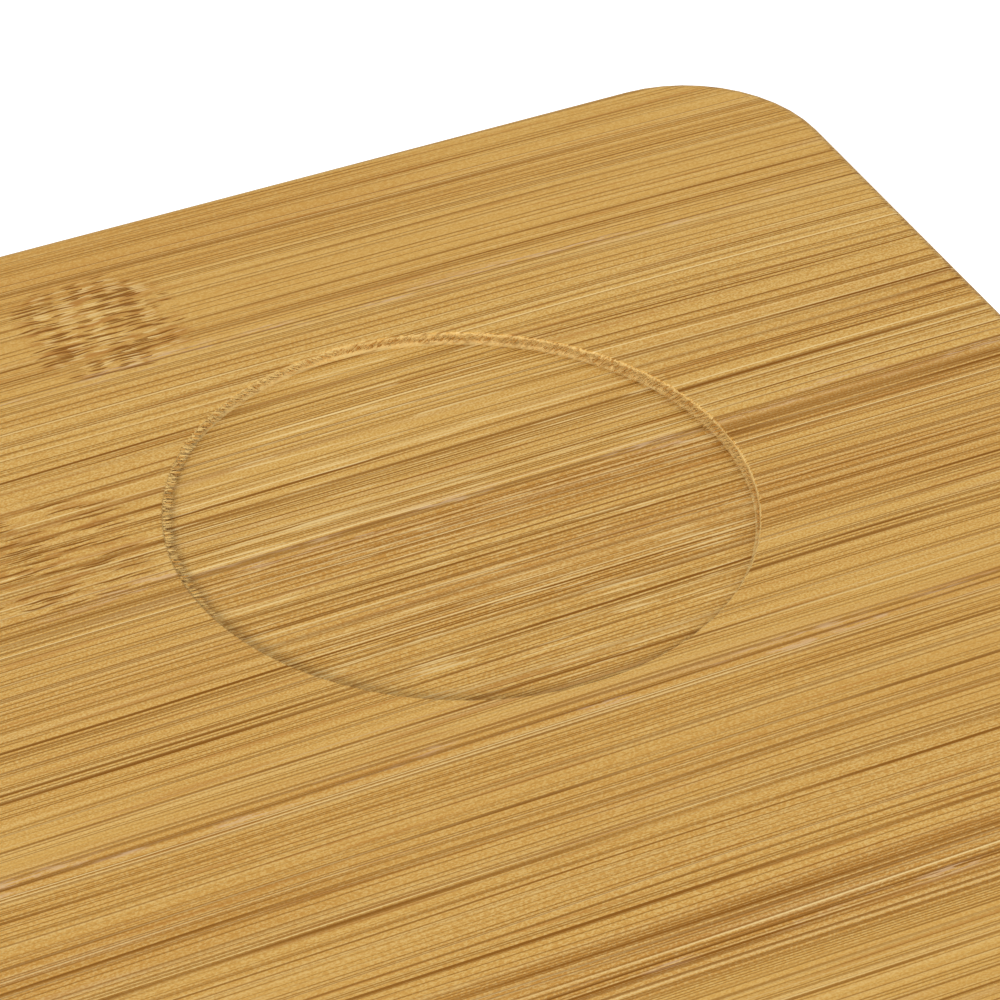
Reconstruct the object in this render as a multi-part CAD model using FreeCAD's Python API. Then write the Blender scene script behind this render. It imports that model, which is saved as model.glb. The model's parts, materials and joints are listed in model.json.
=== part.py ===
"""Bamboo wireless charging pad: a flat board of laminated bamboo with a shallow round charging spot near one
corner, and the charger itself in a pocket milled into the underside.

Frame, in millimetres: the origin is on the desk under the middle of the pad, +Z up, +X along the grain and +Y
towards the back edge, where the power inlet is. The module is built on the base cover: the circuit board is
screwed to it, and the coil stack is pressed up against the pocket's ceiling by foam pads.
"""

import FreeCAD, Part
import math
import os

Vector = FreeCAD.Vector
UP = Vector(0, 0, 1)

# ---- Driving dimensions ------------------------------------------------------------------------------
BOARD_LENGTH = 220.0
BOARD_WIDTH = 180.0
BOARD_THICK = 9.0
CORNER_R = 10.8
TOP_ROUND = 1.0
UNDER_CHAMFER = 0.6
FOOT_STAND = 1.0

SPOT_R = 20.0
SPOT_DEPTH = 0.8
SPOT_FLOOR_R = 0.3
SPOT_RIM_R = 0.15
SPOT_FROM_SIDE = 44.8
SPOT_FROM_BACK = 41.3

SKIN_OVER_COIL = 2.2
SKIN_OVER_CIRCUIT = 2.0
COIL_POCKET_R = 27.5
LEDGE = 5.5
REBATE = 1.7
COVER_THICK = 1.5
COVER_SUNK = 0.1
COVER_GAP = 0.2

VENT_COUNT = 7
VENT_PITCH = 3.2
VENT_LENGTH = 13.0
VENT_WIDTH = 1.3
RIB_THICK = 1.0
RIB_HEIGHT = 0.6
SEAT_HEIGHT = 0.9
BOSS_R = 2.4

CIRCUIT_LENGTH = 44.0
CIRCUIT_WIDTH = 46.0
CIRCUIT_THICK = 1.0
CIRCUIT_STANDOFF = 0.8
CIRCUIT_CLEAR = 1.5

FOAM_PLACE = 10.0

LITZ_R = 0.55
COIL_FIRST_R = 10.8
COIL_PITCH = 1.17
COIL_TURNS = 10
FERRITE_R = 25.0
FERRITE_THICK = 0.8
TAPE_THICK = 0.1
TOP_TAPE_THICK = 0.2
TRAY_FLOOR = 0.8
TRAY_WALL = 1.2

USB_WIDTH = 8.94
USB_HEIGHT = 3.26
USB_LENGTH = 7.3
USB_WALL = 0.3
USB_MOUTH_SUNK = 0.5

FOOT_R = 7.0
FOOT_INSET = 12.0
FOOT_RECESS = 1.0
FOOT_GLUE = 0.1

SCREW_CREST_R = 1.1
SCREW_CORE_R = 0.85
SCREW_HEAD_R = 1.95
FIT_GAP = 0.03

# ---- Places worked out from them ---------------------------------------------------------------------
UNDERSIDE = FOOT_STAND
TOP = UNDERSIDE + BOARD_THICK
BACK = BOARD_WIDTH / 2
SPOT = Vector(BOARD_LENGTH / 2 - SPOT_FROM_SIDE, BACK - SPOT_FROM_BACK, 0)
SPOT_FLOOR = TOP - SPOT_DEPTH
COIL_CEILING = SPOT_FLOOR - SKIN_OVER_COIL
CIRCUIT_CEILING = TOP - SKIN_OVER_CIRCUIT
LEDGE_Z = UNDERSIDE + REBATE
COVER_BOTTOM = UNDERSIDE + COVER_SUNK
COVER_TOP = COVER_BOTTOM + COVER_THICK

CIRCUIT_BOTTOM = COVER_TOP + CIRCUIT_STANDOFF
CIRCUIT_TOP = CIRCUIT_BOTTOM + CIRCUIT_THICK
BACK_WALL = 5.5
CIRCUIT_BACK = BACK - BACK_WALL - 0.5
CIRCUIT_RIGHT = SPOT.x - COIL_POCKET_R - 2.5
CIRCUIT_LEFT = CIRCUIT_RIGHT - CIRCUIT_LENGTH
CIRCUIT_FRONT = CIRCUIT_BACK - CIRCUIT_WIDTH

TOP_TAPE_Z = COIL_CEILING - TOP_TAPE_THICK
COIL_Z = TOP_TAPE_Z - LITZ_R
LOW_TAPE_Z = COIL_Z - LITZ_R - TAPE_THICK
FERRITE_Z = LOW_TAPE_Z - FERRITE_THICK
TRAY_Z = FERRITE_Z - TRAY_FLOOR
COIL_LAST_R = COIL_FIRST_R + COIL_TURNS * COIL_PITCH
TRAY_R = FERRITE_R + 0.2 + TRAY_WALL

PORT_X = (CIRCUIT_LEFT + CIRCUIT_RIGHT) / 2
PORT_Z = UNDERSIDE + BOARD_THICK / 2
PORT_NOTCH_HALF = 6.8
PORT_NOTCH_BACK = BACK - 2.2
BEZEL_WIDTH = 10.8
BEZEL_HEIGHT = 4.8
BEZEL_FLANGE = 0.6
PIPE_X = PORT_X + 10.5
PIPE_R = 1.0

# The leads leave the coil side by side, towards the circuit board.
LEAD_INNER_Y = -2.2
LEAD_OUTER_Y = -6.5
LEAD_BEND = 2.2
LEAD_Z = CIRCUIT_TOP + LITZ_R
LEAD_END_X = CIRCUIT_RIGHT - 3.0 - SPOT.x
SENSOR_WIRE_R = 0.22
SLOT_LOW_Y = -4.6
SLOT_HIGH_Y = -1.4
SLOT_DEEP_X = -2.2


# ---- Small shapes that repeat ------------------------------------------------------------------------
def box(x0, y0, z0, x1, y1, z1):
    return Part.makeBox(x1 - x0, y1 - y0, z1 - z0, Vector(x0, y0, z0))


def centred_box(x, y, z0, length, width, height):
    return box(x - length / 2, y - width / 2, z0, x + length / 2, y + width / 2, z0 + height)


def cylinder(x, y, z0, z1, radius):
    return Part.makeCylinder(radius, z1 - z0, Vector(x, y, z0))


def fused(shapes):
    whole = shapes[0]
    for shape in shapes[1:]:
        whole = whole.fuse(shape)
    return whole.removeSplitter()


def rounded_block(x0, y0, x1, y1, z0, z1, radius):
    """A block whose four upright edges are rounded."""
    block = box(x0, y0, z0, x1, y1, z1)
    upright = [e for e in block.Edges if abs(e.tangentAt(e.FirstParameter).z) > 0.9]
    return block.makeFillet(radius, upright)


def edges_at(shape, z):
    return [e for e in shape.Edges if all(abs(v.Z - z) < 1e-6 for v in e.Vertexes)]


def turned(profile, x, y, z0):
    """A solid of revolution about an upright axis; its (radius, height) points start and end on the axis."""
    points = [Vector(x + r, y, z0 + h) for r, h in profile]
    face = Part.Face(Part.makePolygon(points + points[:1]))
    return face.revolve(Vector(x, y, 0), UP, 360)


def stadium(x, z, width, height, y0, y1):
    """A flat bar with half-round sides, lying along Y, as the section of a power plug."""
    reach = width / 2 - height / 2
    middle = box(x - reach, y0, z - height / 2, x + reach, y1, z + height / 2)
    ends = [
        Part.makeCylinder(height / 2, y1 - y0, Vector(x + side * reach, y0, z), Vector(0, 1, 0))
        for side in (-1, 1)
    ]
    return fused([middle] + ends)


def bent_path(corners, bend):
    """Straight runs joined by tangent arcs. The bend radius shrinks where a corner's runs leave less room."""
    edges = []
    here = corners[0]
    for before, corner, after in zip(corners, corners[1:], corners[2:]):
        back = (before - corner).normalize()
        ahead = (after - corner).normalize()
        half = back.getAngle(ahead) / 2
        room = 0.98 * min((here - corner).Length, (after - corner).Length / 2)
        reach = min(bend / math.tan(half), room)
        start = corner + back * reach
        end = corner + ahead * reach
        inward = (back + ahead).normalize()
        centre = corner + inward * (reach / math.cos(half))
        middle = centre - inward * (reach * math.tan(half))
        if (start - here).Length > 1e-6:
            edges.append(Part.LineSegment(here, start).toShape())
        edges.append(Part.Arc(start, middle, end).toShape())
        here = end
    edges.append(Part.LineSegment(here, corners[-1]).toShape())
    return Part.Wire(edges)


def wire_along(path, radius):
    """A round wire that follows a path of lines and tangent arcs."""
    start = path.Edges[0]
    direction = start.tangentAt(start.FirstParameter)
    profile = Part.Wire(Part.makeCircle(radius, start.valueAt(start.FirstParameter), direction))
    return path.makePipeShell([profile], True, False)


def at_spot(shape):
    return shape.translated(SPOT)


def cross_recess(x, y, z0, z1, size):
    """The cutter for a cross-head driver."""
    along = centred_box(x, y, z0, size, size * 0.24, z1 - z0)
    across = centred_box(x, y, z0, size * 0.24, size, z1 - z0)
    return along.fuse(across)


# ---- Bamboo board ------------------------------------------------------------------------------------
def pocket_outline(grow, z0, z1):
    """The keyhole outline of the electronics pocket, grown by the width of the ledge for the cover."""
    coil = cylinder(SPOT.x, SPOT.y, z0, z1, COIL_POCKET_R + grow)
    back = BACK - BACK_WALL + min(grow, 1.5)
    circuit = rounded_block(
        CIRCUIT_LEFT - CIRCUIT_CLEAR - grow, CIRCUIT_FRONT - CIRCUIT_CLEAR - grow,
        SPOT.x - COIL_POCKET_R / 2 + grow, back, z0, z1, 2.0 + grow / 2,
    )
    return fused([coil, circuit])


def port_notch(grow, z0, z1):
    """The part of the pocket that runs out towards the back edge, where the power inlet sits."""
    half = PORT_NOTCH_HALF + grow
    return box(PORT_X - half, BACK - BACK_WALL - 2, z0, PORT_X + half, PORT_NOTCH_BACK + grow / 2, z1)


def spot_cutter():
    """The round charging spot: a flat floor, a wall as deep as the spot, and a rim that is barely broken."""
    r = SPOT_R
    floor = SPOT_FLOOR
    lip = TOP - SPOT_RIM_R
    slant = math.sqrt(0.5)
    start = Vector(0, 0, floor)
    foot = Vector(r - SPOT_FLOOR_R, 0, floor)
    turn = Vector(r - SPOT_FLOOR_R * (1 - slant), 0, floor + SPOT_FLOOR_R * (1 - slant))
    wall_low = Vector(r, 0, floor + SPOT_FLOOR_R)
    wall_high = Vector(r, 0, lip)
    rim_turn = Vector(r + SPOT_RIM_R * (1 - slant), 0, TOP - SPOT_RIM_R * (1 - slant))
    rim = Vector(r + SPOT_RIM_R, 0, TOP)
    above = Vector(r + SPOT_RIM_R, 0, TOP + 1)
    axis = Vector(0, 0, TOP + 1)
    outline = Part.Wire([
        Part.LineSegment(start, foot).toShape(),
        Part.Arc(foot, turn, wall_low).toShape(),
        Part.LineSegment(wall_low, wall_high).toShape(),
        Part.Arc(wall_high, rim_turn, rim).toShape(),
        Part.LineSegment(rim, above).toShape(),
        Part.LineSegment(above, axis).toShape(),
        Part.LineSegment(axis, start).toShape(),
    ])
    return at_spot(Part.Face(outline).revolve(Vector(0, 0, 0), UP, 360))


def bamboo_board():
    half_length = BOARD_LENGTH / 2
    board = rounded_block(-half_length, -BACK, half_length, BACK, UNDERSIDE, TOP, CORNER_R)
    board = board.makeFillet(TOP_ROUND, edges_at(board, TOP))
    board = board.makeChamfer(UNDER_CHAMFER, edges_at(board, UNDERSIDE))
    board = board.cut(spot_cutter())

    below = UNDERSIDE - 1
    coil_room = cylinder(SPOT.x, SPOT.y, below, COIL_CEILING, COIL_POCKET_R)
    circuit_room = rounded_block(
        CIRCUIT_LEFT - CIRCUIT_CLEAR, CIRCUIT_FRONT - CIRCUIT_CLEAR,
        SPOT.x - SPOT_R - 5, BACK - BACK_WALL, below, CIRCUIT_CEILING, 2.0,
    )
    rebate = pocket_outline(LEDGE, below, LEDGE_Z)
    notch = port_notch(0, below, PORT_Z + BEZEL_HEIGHT / 2 + 0.4)
    port = stadium(PORT_X, PORT_Z, BEZEL_WIDTH, BEZEL_HEIGHT, PORT_NOTCH_BACK - 1, BACK + 1)
    pipe = Part.makeCylinder(PIPE_R, 10, Vector(PIPE_X, BACK - 9, PORT_Z), Vector(0, 1, 0))
    for cutter in (coil_room, circuit_room, rebate, notch, port, pipe):
        board = board.cut(cutter)
    for x, y in COVER_SCREW_PLACES:
        board = board.cut(cylinder(x, y, below, LEDGE_Z + 4.2, SCREW_CREST_R + FIT_GAP))
    for x, y in FOOT_PLACES:
        board = board.cut(cylinder(x, y, below, UNDERSIDE + FOOT_RECESS, FOOT_R + 0.1))
    return board


# ---- Feet --------------------------------------------------------------------------------------------
FOOT_X = BOARD_LENGTH / 2 - FOOT_INSET
FOOT_Y = BACK - FOOT_INSET
FOOT_PLACES = [(-FOOT_X, -FOOT_Y), (FOOT_X, -FOOT_Y), (-FOOT_X, FOOT_Y), (FOOT_X, FOOT_Y)]
FOOT_NAMES = ["foot_front_left", "foot_front_right", "foot_back_left", "foot_back_right"]


def rubber_foot(x, y):
    """A moulded disc with a rounded tread edge and a shallow suction dish."""
    top = UNDERSIDE + FOOT_RECESS - FOOT_GLUE
    foot = cylinder(x, y, 0, top, FOOT_R)
    foot = foot.makeFillet(0.5, edges_at(foot, 0))
    dish = Part.makeSphere(40.0, Vector(x, y, 0.3 - 40.0))
    return foot.cut(dish)


def foot_adhesives():
    top = UNDERSIDE + FOOT_RECESS
    return Part.makeCompound([
        cylinder(x, y, top - FOOT_GLUE, top, FOOT_R - 0.3) for x, y in FOOT_PLACES
    ])


# ---- Base cover and its screws -----------------------------------------------------------------------
COVER_SCREW_R = COIL_POCKET_R + LEDGE / 2
LEFT_SCREW_X = CIRCUIT_LEFT - CIRCUIT_CLEAR - LEDGE / 2
FRONT_SCREW_Y = CIRCUIT_FRONT - CIRCUIT_CLEAR - LEDGE / 2
COVER_SCREW_PLACES = [
    (SPOT.x + COVER_SCREW_R * math.cos(math.radians(a)), SPOT.y + COVER_SCREW_R * math.sin(math.radians(a)))
    for a in (-75, 0, 75)
] + [
    (LEFT_SCREW_X, CIRCUIT_FRONT + 1.0),
    (LEFT_SCREW_X, CIRCUIT_BACK - 4.0),
    ((CIRCUIT_LEFT + CIRCUIT_RIGHT) / 2, FRONT_SCREW_Y),
]
CIRCUIT_SCREW_PLACES = [
    (CIRCUIT_LEFT + 3, CIRCUIT_FRONT + 3),
    (CIRCUIT_RIGHT - 11, CIRCUIT_FRONT + 3),
    (CIRCUIT_LEFT + 3, CIRCUIT_BACK - 3),
    (CIRCUIT_RIGHT - 3, CIRCUIT_BACK - 3),
]
VENT_X = CIRCUIT_LEFT + 13.0
VENT_Y = CIRCUIT_FRONT + 13.0
ROOT = 0.2


def base_cover():
    """The flat lid, with a ring and two crossed ribs under the coil and four bosses for the circuit board."""
    cover = fused([
        pocket_outline(LEDGE - COVER_GAP, COVER_BOTTOM, COVER_TOP),
        port_notch(-COVER_GAP, COVER_BOTTOM, COVER_TOP),
    ])
    cover = cover.makeChamfer(0.25, edges_at(cover, COVER_BOTTOM))
    low = COVER_TOP - ROOT
    bosses = [cylinder(x, y, low, CIRCUIT_BOTTOM, BOSS_R) for x, y in CIRCUIT_SCREW_PLACES]
    seat_r = TRAY_R - 1.5
    seat = cylinder(SPOT.x, SPOT.y, low, COVER_TOP + SEAT_HEIGHT, seat_r)
    seat = seat.cut(cylinder(SPOT.x, SPOT.y, low, COVER_TOP + SEAT_HEIGHT, seat_r - 1.2))
    span = 2 * seat_r - 1
    ribs = [
        centred_box(SPOT.x, SPOT.y, low, span, RIB_THICK, RIB_HEIGHT + ROOT),
        centred_box(SPOT.x, SPOT.y, low, RIB_THICK, span, RIB_HEIGHT + ROOT),
    ]
    cover = fused([cover, seat] + ribs + bosses)

    for x, y in COVER_SCREW_PLACES:
        cover = cover.cut(cylinder(x, y, 0, COVER_TOP + 1, SCREW_CREST_R + 0.15))
        cover = cover.cut(countersink(x, y))
    for x, y in CIRCUIT_SCREW_PLACES:
        cover = cover.cut(cylinder(x, y, COVER_BOTTOM + 0.5, CIRCUIT_BOTTOM + 1, 0.9 + FIT_GAP))
    for i in range(VENT_COUNT):
        x = VENT_X + (i - (VENT_COUNT - 1) / 2) * VENT_PITCH
        vent = rounded_block(
            x - VENT_WIDTH / 2, VENT_Y, x + VENT_WIDTH / 2, VENT_Y + VENT_LENGTH,
            COVER_BOTTOM - 1, COVER_TOP + 1, VENT_WIDTH / 2 - 0.01,
        )
        cover = cover.cut(vent)
    return cover


def countersink(x, y):
    mouth = SCREW_HEAD_R + 0.15
    deep = 1.15
    cone = [(0, 0), (mouth, 0), (mouth, 0.12), (SCREW_CREST_R + 0.1, deep), (0, deep)]
    return turned(cone, x, y, COVER_BOTTOM - 0.001)


def thread_profile(length, crest, core, pitch):
    """One side of a tapping thread, from the head end to the point."""
    points = []
    turns = int(length / pitch)
    for i in range(turns):
        points += [(core, i * pitch), (crest, (i + 0.5) * pitch)]
    return points + [(core, turns * pitch), (0, turns * pitch + core)]


def cover_screw(x, y):
    """A countersunk tapping screw, driven up into the bamboo ledge."""
    head = [(0, 0), (SCREW_HEAD_R, 0), (SCREW_HEAD_R, 0.15), (SCREW_CORE_R, 1.2)]
    thread = [(r, h + 1.5) for r, h in thread_profile(3.4, SCREW_CREST_R, SCREW_CORE_R, 0.68)]
    screw = turned(head + thread, x, y, COVER_BOTTOM + 0.05)
    return screw.cut(cross_recess(x, y, COVER_BOTTOM, COVER_BOTTOM + 0.75, 2.0))


def circuit_screw(x, y):
    """A small pan-head screw that holds the circuit board to a boss of the cover."""
    length = CIRCUIT_TOP - COVER_BOTTOM - 0.8
    shank = [(0, 0), (0.55, 0.3), (0.9, 0.7), (0.9, length), (1.7, length)]
    head = [(1.7, length + 0.6), (1.3, length + 0.95), (0, length + 1.05)]
    screw = turned(shank + head, x, y, CIRCUIT_TOP - length)
    return screw.cut(cross_recess(x, y, CIRCUIT_TOP + 0.45, CIRCUIT_TOP + 2, 1.7))


def thermal_pad():
    x = CIRCUIT_LEFT + 31
    y = CIRCUIT_FRONT + 21
    return rounded_block(x - 5.5, y - 8, x + 5.5, y + 8, COVER_TOP, CIRCUIT_BOTTOM, 0.8)


# ---- Circuit board and what is soldered to it --------------------------------------------------------
def circuit_board():
    board = rounded_block(
        CIRCUIT_LEFT, CIRCUIT_FRONT, CIRCUIT_RIGHT, CIRCUIT_BACK, CIRCUIT_BOTTOM, CIRCUIT_TOP, 1.2,
    )
    half = PORT_NOTCH_HALF - 0.4
    tab_back = PORT_NOTCH_BACK - BEZEL_FLANGE - 0.3
    tab = box(PORT_X - half, CIRCUIT_BACK - 1, CIRCUIT_BOTTOM, PORT_X + half, tab_back, CIRCUIT_TOP)
    board = fused([board, tab])
    seat = USB_WIDTH / 2 + 0.1
    mouth = BACK - USB_MOUTH_SUNK
    slot = box(PORT_X - seat, mouth - USB_LENGTH - 0.9, 0, PORT_X + seat, BACK + 1, TOP)
    board = board.cut(slot)
    for x, y in CIRCUIT_SCREW_PLACES:
        board = board.cut(cylinder(x, y, 0, TOP, 1.1))
    return board


def on_circuit(x, y):
    """A place on the circuit board, from its front left corner."""
    return CIRCUIT_LEFT + x, CIRCUIT_FRONT + y


def controller_chip():
    """A square leadless chip: moulded body, pin-one dimple, and a row of lands along each side."""
    x, y = on_circuit(19, 19)
    body = centred_box(x, y, CIRCUIT_TOP + 0.05, 5.0, 5.0, 0.8)
    body = body.cut(cylinder(x - 1.9, y + 1.9, CIRCUIT_TOP + 0.78, CIRCUIT_TOP + 2, 0.3))
    lands = []
    for i in range(8):
        step = (i - 3.5) * 0.5
        lands += [
            centred_box(x + step, y - 2.45, CIRCUIT_TOP, 0.24, 0.3, 0.2),
            centred_box(x + step, y + 2.45, CIRCUIT_TOP, 0.24, 0.3, 0.2),
            centred_box(x - 2.45, y + step, CIRCUIT_TOP, 0.3, 0.24, 0.2),
            centred_box(x + 2.45, y + step, CIRCUIT_TOP, 0.3, 0.24, 0.2),
        ]
    return fused([body] + lands)


def bridge_transistors():
    """The two packages that drive the coil."""
    made = []
    for along in (16, 25):
        x, y = on_circuit(31, along)
        body = centred_box(x, y, CIRCUIT_TOP, 3.3, 3.3, 0.9)
        legs = [
            centred_box(x + side * 1.75, y + (i - 1.5) * 0.65, CIRCUIT_TOP, 0.5, 0.35, 0.2)
            for side in (-1, 1)
            for i in range(4)
        ]
        made.append(fused([body] + legs))
    return Part.makeCompound(made)


def buck_inductor():
    """A shielded power inductor: a moulded block with clipped corners and two end terminals."""
    x, y = on_circuit(9, 28)
    body = centred_box(x, y, CIRCUIT_TOP + 0.05, 5.2, 5.2, 2.2)
    upright = [e for e in body.Edges if abs(e.tangentAt(e.FirstParameter).z) > 0.9]
    body = body.makeChamfer(0.7, upright)
    rim = cylinder(x, y, CIRCUIT_TOP + 2.15, CIRCUIT_TOP + 3, 2.0)
    ends = [centred_box(x + side * 2.3, y, CIRCUIT_TOP, 0.8, 2.4, 0.4) for side in (-1, 1)]
    return fused([body.cut(rim)] + ends)


def chip_row(x, y, step_x, step_y, count, length, width, height):
    """A row of chip parts, each a block whose two ends are metal terminals standing a little proud."""
    made = []
    for i in range(count):
        cx, cy = on_circuit(x + i * step_x, y + i * step_y)
        body = centred_box(cx, cy, CIRCUIT_TOP + 0.04, length * 0.9, width - 0.08, height - 0.08)
        cap = length * 0.2
        reach = (length - cap) / 2
        ends = [centred_box(cx + side * reach, cy, CIRCUIT_TOP, cap, width, height) for side in (-1, 1)]
        made.append(fused([body] + ends))
    return made


def resonant_capacitors():
    return Part.makeCompound(chip_row(38.5, 17, 0, 3.4, 4, 4.5, 2.6, 2.0))


def filter_capacitors():
    return Part.makeCompound(
        chip_row(9, 35, 0, 2.2, 3, 2.0, 1.25, 1.25)
        + chip_row(20, 26.5, 3.0, 0, 2, 2.0, 1.25, 1.25)
        + chip_row(10.5, 7, 3.2, 0, 3, 2.0, 1.25, 1.25)
    )


def chip_resistors():
    return Part.makeCompound(
        chip_row(9, 12.5, 0, 1.7, 6, 1.6, 0.8, 0.45)
        + chip_row(13, 12.5, 0, 1.7, 6, 1.6, 0.8, 0.45)
        + chip_row(25, 13, 0, 1.7, 4, 1.6, 0.8, 0.45)
        + chip_row(17, 12.5, 2.6, 0, 2, 1.6, 0.8, 0.45)
    )


def status_led():
    """A side-facing lamp at the board's edge: white body with a clear window towards the light pipe."""
    y = CIRCUIT_BACK - 1.0
    body = centred_box(PIPE_X, y, CIRCUIT_TOP, 2.4, 1.0, 1.6)
    window = centred_box(PIPE_X, y + 0.6, CIRCUIT_TOP + 0.35, 1.6, 0.3, 0.9)
    return fused([body, window])


def light_pipe():
    """A clear rod through the back wall, with a collar inside that stops it from being pushed out."""
    inner = BACK - BACK_WALL
    back = Vector(0, 1, 0)
    rod = Part.makeCylinder(PIPE_R - 0.05, BACK_WALL + 0.1, Vector(PIPE_X, inner - 0.2, PORT_Z), back)
    collar = Part.makeCylinder(PIPE_R + 0.4, 0.4, Vector(PIPE_X, inner - 0.4, PORT_Z), back)
    return fused([rod, collar])


def solder_dome(x, y, radius, height):
    """Half a dome of solder, whose flat side meets the end of a lead that comes from +X."""
    profile = [(0, 0), (radius, 0), (radius * 0.94, height * 0.3), (radius * 0.62, height * 0.8), (0, height)]
    dome = turned(profile, x - radius * 0.2, y, CIRCUIT_TOP)
    return dome.common(box(x - 3 * radius, y - 2 * radius, 0, x, y + 2 * radius, TOP))


def solder_joints():
    """Solder at the ends of the coil leads and the sensor wires."""
    leads = [solder_dome(LEAD_END_X, y, 1.4, 1.35) for y in (LEAD_INNER_Y, LEAD_OUTER_Y)]
    wires = [solder_dome(SENSOR_END_X, y, 0.7, 0.6) for y in SENSOR_PAD_YS]
    return at_spot(Part.makeCompound(leads + wires))


# ---- Power inlet -------------------------------------------------------------------------------------
USB_MOUTH = BACK - USB_MOUTH_SUNK
USB_REAR = USB_MOUTH - USB_LENGTH
USB_HOUSING_LENGTH = 2.4
TONGUE_WIDTH = 6.6
TONGUE_THICK = 0.7
CONTACT_THICK = 0.06


def usb_shell():
    """The drawn steel shell, with an ear on each side that is soldered to the circuit board."""
    outer = stadium(PORT_X, PORT_Z, USB_WIDTH, USB_HEIGHT, USB_REAR, USB_MOUTH)
    bore = stadium(
        PORT_X, PORT_Z, USB_WIDTH - 2 * USB_WALL, USB_HEIGHT - 2 * USB_WALL, USB_REAR - 1, USB_MOUTH + 1,
    )
    ears = []
    for side in (-1, 1):
        inner = PORT_X + side * (USB_WIDTH / 2 - 0.75)
        outer_x = PORT_X + side * (USB_WIDTH / 2 + 1.3)
        low, high = sorted((inner, outer_x))
        ears.append(box(low, USB_REAR + 1.0, CIRCUIT_TOP, high, USB_REAR + 2.6, CIRCUIT_TOP + USB_WALL))
    return fused([outer] + ears).cut(bore)


def usb_housing():
    """The insulator that closes the rear of the shell and carries the tongue."""
    gap = FIT_GAP
    return stadium(
        PORT_X, PORT_Z, USB_WIDTH - 2 * USB_WALL - 2 * gap, USB_HEIGHT - 2 * USB_WALL - 2 * gap,
        USB_REAR, USB_REAR + USB_HOUSING_LENGTH,
    )


def usb_tongue():
    """The thin middle tongue that the plug closes over."""
    front = USB_MOUTH - 0.8
    back = USB_REAR + USB_HOUSING_LENGTH
    half = TONGUE_WIDTH / 2
    tongue = box(
        PORT_X - half, back, PORT_Z - TONGUE_THICK / 2, PORT_X + half, front, PORT_Z + TONGUE_THICK / 2,
    )
    nose = [e for e in tongue.Edges if all(abs(v.Y - front) < 1e-6 for v in e.Vertexes)]
    return tongue.makeChamfer(0.18, [e for e in nose if e.Length > 1])


def usb_contacts():
    """Twelve flat contacts on each face of the tongue."""
    back = USB_REAR + USB_HOUSING_LENGTH
    made = []
    for i in range(12):
        x = PORT_X + (i - 5.5) * 0.5
        for z in (PORT_Z + TONGUE_THICK / 2, PORT_Z - TONGUE_THICK / 2 - CONTACT_THICK):
            made.append(box(x - 0.125, back, z, x + 0.125, USB_MOUTH - 1.4, z + CONTACT_THICK))
    return Part.makeCompound(made)


def port_bezel():
    """The moulded lining of the inlet hole, held from inside by its flange."""
    front = BACK - 0.1
    width = BEZEL_WIDTH - 2 * FIT_GAP
    height = BEZEL_HEIGHT - 2 * FIT_GAP
    sleeve = stadium(PORT_X, PORT_Z, width, height, PORT_NOTCH_BACK - 0.1, front)
    half = PORT_NOTCH_HALF - 0.3
    rise = BEZEL_HEIGHT / 2 + 0.25
    back = PORT_NOTCH_BACK - BEZEL_FLANGE
    flange = box(PORT_X - half, back, PORT_Z - rise, PORT_X + half, PORT_NOTCH_BACK, PORT_Z + rise)
    hole = stadium(PORT_X, PORT_Z, USB_WIDTH + 0.16, USB_HEIGHT + 0.16, back - 1, BACK + 1)
    bezel = fused([sleeve, flange]).cut(hole)
    outer = [e for e in bezel.Edges if all(abs(v.Y - front) < 1e-6 for v in e.Vertexes)]
    return bezel.makeChamfer(0.2, outer)


# ---- Coil stack --------------------------------------------------------------------------------------
def lead_slot(z0, z1):
    """The radial slot that lets the inner lead and the sensor wires pass under the winding."""
    return box(-FERRITE_R - 5, SLOT_LOW_Y, z0, SLOT_DEEP_X, SLOT_HIGH_Y, z1)


def coil_tray():
    """The moulded dish that holds the ferrite, open on the side where the leads leave."""
    dish = cylinder(0, 0, TRAY_Z, TOP_TAPE_Z - 0.3, TRAY_R)
    dish = dish.cut(cylinder(0, 0, FERRITE_Z, TOP, TRAY_R - TRAY_WALL))
    dish = dish.cut(lead_slot(CIRCUIT_TOP, TOP))
    gate = box(-TRAY_R - 2, LEAD_OUTER_Y - 2.0, CIRCUIT_TOP, -FERRITE_R + 2, 0.0, TOP)
    return at_spot(dish.cut(gate))


def ferrite_shield():
    disc = cylinder(0, 0, FERRITE_Z, FERRITE_Z + FERRITE_THICK, FERRITE_R)
    return at_spot(disc.cut(lead_slot(0, TOP)))


def coil_tape_lower():
    ring = cylinder(0, 0, LOW_TAPE_Z, LOW_TAPE_Z + TAPE_THICK, COIL_LAST_R + 0.8)
    ring = ring.cut(cylinder(0, 0, 0, TOP, COIL_FIRST_R - 1.0))
    return at_spot(ring)


def coil_tape_upper():
    ring = cylinder(0, 0, TOP_TAPE_Z, COIL_CEILING, COIL_LAST_R + 1.2)
    ring = ring.cut(cylinder(0, 0, 0, TOP, COIL_FIRST_R - 1.4))
    return at_spot(ring)


def charging_coil():
    """The flat winding: half circles about two centres, so that each half turn is half a pitch wider."""
    step = COIL_PITCH / 2
    edges = []
    for i in range(2 * COIL_TURNS):
        radius = COIL_FIRST_R + i * step
        side = -1 if i % 2 == 0 else 1
        centre_x = 0.0 if i % 2 == 0 else -step
        start = Vector(centre_x + side * radius, 0, COIL_Z)
        middle = Vector(centre_x, side * radius, COIL_Z)
        end = Vector(centre_x - side * radius, 0, COIL_Z)
        edges.append(Part.Arc(start, middle, end).toShape())
    return at_spot(wire_along(Part.Wire(edges), LITZ_R))


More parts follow.
